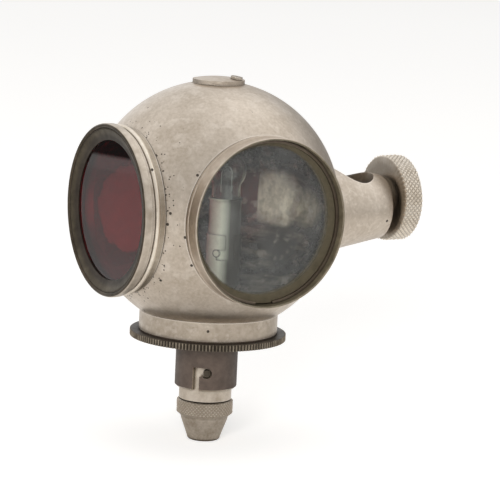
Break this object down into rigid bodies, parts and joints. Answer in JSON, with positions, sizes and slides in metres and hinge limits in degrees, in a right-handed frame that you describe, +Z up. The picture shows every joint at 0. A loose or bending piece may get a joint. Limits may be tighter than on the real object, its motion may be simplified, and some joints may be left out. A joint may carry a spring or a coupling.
{
  "type": "car stop lamp",
  "caption": "Ball-bodied vintage car stop lamp with a red lens, a clear side window, a thumb-screw bracket socket and a bayonet cable connector below.",
  "frame": {"origin": "on the axis of the bracket peg socket, at the height of the boss axis", "axes": "+Z up, out of the mouth of the peg socket; the red lens faces -Y and the clear window faces +X"},
  "size_m": [0.0691, 0.0979, 0.1056],
  "materials": {
    "nickel": "worn satin nickel plate on spun brass",
    "nickel_turned": "turned and knurled nickel-plated brass",
    "black_brass": "blackened brass, worn on its edges",
    "brown_brass": "dark brown oxidised brass",
    "red_glass": "polished ruby glass",
    "clear_glass": "old plate glass, dusty",
    "bulb_glass": "thin blown glass",
    "fibre": "vulcanised fibre",
    "packing": "old rubber and cork packing",
    "contact_brass": "bare turned brass",
    "spring_steel": "drawn spring wire"
  },
  "bodies": {
    "lamp": {"body_shell": "nickel", "top_plate": "nickel", "plate_screw": "nickel_turned", "lens_collar": "nickel", "lens_gasket": "packing", "window_rim": "nickel", "window_gasket": "packing", "window_glass": "clear_glass", "window_spring_ring": "brown_brass", "bracket_boss": "nickel", "neck_ring": "nickel"},
    "clamp_washer": {"clamp_washer": "brown_brass"},
    "thumb_screw": {"clamp_screw": "nickel_turned", "thumb_nut": "nickel_turned"},
    "lens": {"red_lens": "red_glass"},
    "bezel": {"lens_bezel": "nickel", "lens_retaining_ring": "black_brass"},
    "base_packing": {"base_packing": "packing"},
    "base": {"base_flange": "black_brass", "connector_socket": "brown_brass", "socket_insulator": "fibre", "socket_contacts": "contact_brass", "holder_stem": "nickel_turned", "foot_screws": "nickel_turned", "holder_barrel": "nickel_turned", "holder_insulator": "fibre", "holder_spring": "spring_steel"},
    "holder_plunger": {"holder_plunger": "contact_brass"},
    "bulb": {"bulb_cap": "nickel_turned", "bulb_pins": "nickel_turned", "bulb_contact": "contact_brass", "bulb_glass": "bulb_glass", "bulb_stem": "bulb_glass", "bulb_filament": "spring_steel"},
    "plug": {"plug_shell": "nickel", "plug_pins": "brown_brass", "plug_insulator": "fibre", "plug_springs": "spring_steel"},
    "plug_plungers": {"plug_plungers": "contact_brass"},
    "gland_ferrule": {"gland_ferrule": "contact_brass"},
    "gland_nut": {"gland_nut": "nickel_turned"}
  },
  "joints": [
    {"name": "clamp_advance", "type": "slide", "parent": "lamp", "child": "clamp_washer", "axis": [0, 1, 0], "range_m": [-0.0008, 0.001]},
    {"name": "clamp_turn", "type": "hinge", "parent": "clamp_washer", "child": "thumb_screw", "pos_m": [0, 0.0127, 0.0024], "axis": [0, 1, 0], "range_deg": [-288, 360]},
    {"name": "lens_advance", "type": "slide", "parent": "lamp", "child": "lens", "axis": [0, -1, 0], "range_m": [0, 0.00112]},
    {"name": "bezel_turn", "type": "hinge", "parent": "lens", "child": "bezel", "pos_m": [0, -0.0771, 0.0016], "axis": [0, -1, 0], "range_deg": [0, 540]},
    {"name": "base_advance", "type": "slide", "parent": "lamp", "child": "base_packing", "axis": [0, 0, -1], "range_m": [0, 0.002]},
    {"name": "base_turn", "type": "hinge", "parent": "base_packing", "child": "base", "pos_m": [0, -0.0445, -0.0343], "axis": [0, 0, -1], "range_deg": [0, 720]},
    {"name": "plug_turn", "type": "hinge", "parent": "base", "child": "plug", "pos_m": [0, -0.0445, -0.0452], "axis": [0, 0, 1], "range_deg": [-20, 0]},
    {"name": "plunger_press", "type": "slide", "parent": "plug", "child": "plug_plungers", "axis": [0, 0, -1], "range_m": [0, 0.0012], "stiffness_N_per_m": 300, "springref_m": -0.001, "deforming": ["plug_springs"]},
    {"name": "gland_advance", "type": "slide", "parent": "plug", "child": "gland_ferrule", "axis": [0, 0, -1], "range_m": [0, 0.002]},
    {"name": "gland_turn", "type": "hinge", "parent": "gland_ferrule", "child": "gland_nut", "pos_m": [0, -0.0445, -0.0573], "axis": [0, 0, -1], "range_deg": [0, 720]},
    {"name": "holder_press", "type": "slide", "parent": "base", "child": "holder_plunger", "axis": [0, 0, -1], "range_m": [0, 0.0012], "stiffness_N_per_m": 300, "springref_m": -0.001, "deforming": ["holder_spring"]},
    {"name": "bulb_turn", "type": "hinge", "parent": "base", "child": "bulb", "pos_m": [0, -0.041, -0.0114], "axis": [0, 0, 1], "range_deg": [0, 47]}
  ],
  "couplings": [
    {"joint": "clamp_advance", "follows": "clamp_turn", "m_per_rad": 0.00015915},
    {"joint": "lens_advance", "follows": "bezel_turn", "m_per_rad": 0.00011937},
    {"joint": "base_advance", "follows": "base_turn", "m_per_rad": 0.00015915},
    {"joint": "gland_advance", "follows": "gland_turn", "m_per_rad": 0.00015915}
  ]
}
